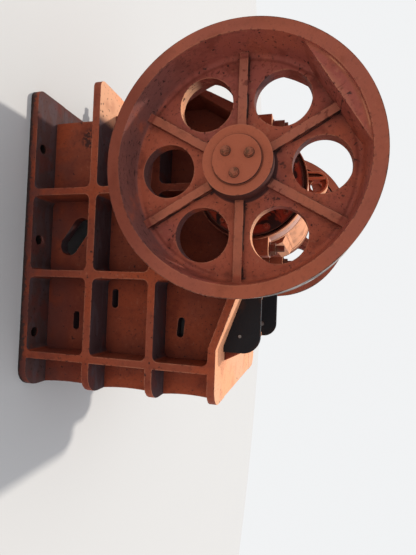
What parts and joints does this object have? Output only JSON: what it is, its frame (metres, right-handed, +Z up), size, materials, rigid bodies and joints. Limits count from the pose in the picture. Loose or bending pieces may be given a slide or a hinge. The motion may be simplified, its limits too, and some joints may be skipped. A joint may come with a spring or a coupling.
{
  "type": "jaw crusher",
  "caption": "Jaw crusher with a ribbed cast frame, a swing jaw hung on an eccentric shaft, a holed flywheel and a grooved drive pulley.",
  "frame": {"origin": "on the floor under the middle of the machine's bounding box", "axes": "+Z up, +X towards the feed end, the shaft runs along Y with the flywheel at -Y and the drive pulley at +Y"},
  "size_m": [1.7247, 1.7426, 1.67],
  "materials": {
    "frame_paint": "faded orange-red paint, chipped and dusty",
    "wheel_paint": "faded orange-red paint, worn on the rim",
    "black_plate": "black paint with rust spots",
    "wear_steel": "cast manganese steel, dull",
    "bare_steel": "turned steel, oily",
    "rusty_steel": "rusty"
  },
  "bodies": {
    "root": {"side_frame_near": "frame_paint", "side_frame_far": "frame_paint", "front_wall": "frame_paint", "rear_wall": "frame_paint", "bearing_cap_near": "frame_paint", "bearing_cap_far": "frame_paint", "bearing_near": "bare_steel", "bearing_far": "bare_steel", "bearing_cover_near": "frame_paint", "bearing_cover_far": "frame_paint", "cap_studs_near": "rusty_steel", "cap_studs_far": "rusty_steel", "fixed_jaw_plate": "wear_steel", "fixed_jaw_ledge": "frame_paint", "swing_jaw": "frame_paint", "swing_jaw_plate": "wear_steel", "jaw_wedge": "wear_steel", "cheek_plate_near": "wear_steel", "cheek_plate_far": "wear_steel", "guard_plate_near": "black_plate", "guard_plate_far": "black_plate", "guard_bracket_near": "frame_paint", "guard_bracket_far": "frame_paint", "lifting_lug": "frame_paint", "toggle_plate": "frame_paint", "toggle_seat_front": "wear_steel", "toggle_seat_rear": "wear_steel", "toggle_beam": "frame_paint", "adjusting_shims": "bare_steel", "tension_rod": "bare_steel", "tension_spring": "bare_steel", "spring_seat": "bare_steel", "tension_nuts": "bare_steel"},
    "rotor": {"eccentric_shaft": "bare_steel", "flywheel": "wheel_paint", "drive_pulley": "wheel_paint", "end_cap_near": "wheel_paint", "end_cap_far": "wheel_paint", "end_bolts_near": "wheel_paint", "end_bolts_far": "wheel_paint"}
  },
  "joints": [
    {"name": "shaft_spin", "type": "hinge", "parent": "root", "child": "rotor", "pos_m": [-0.152, 0, 1.15], "axis": [0, 1, 0], "continuous": true}
  ]
}
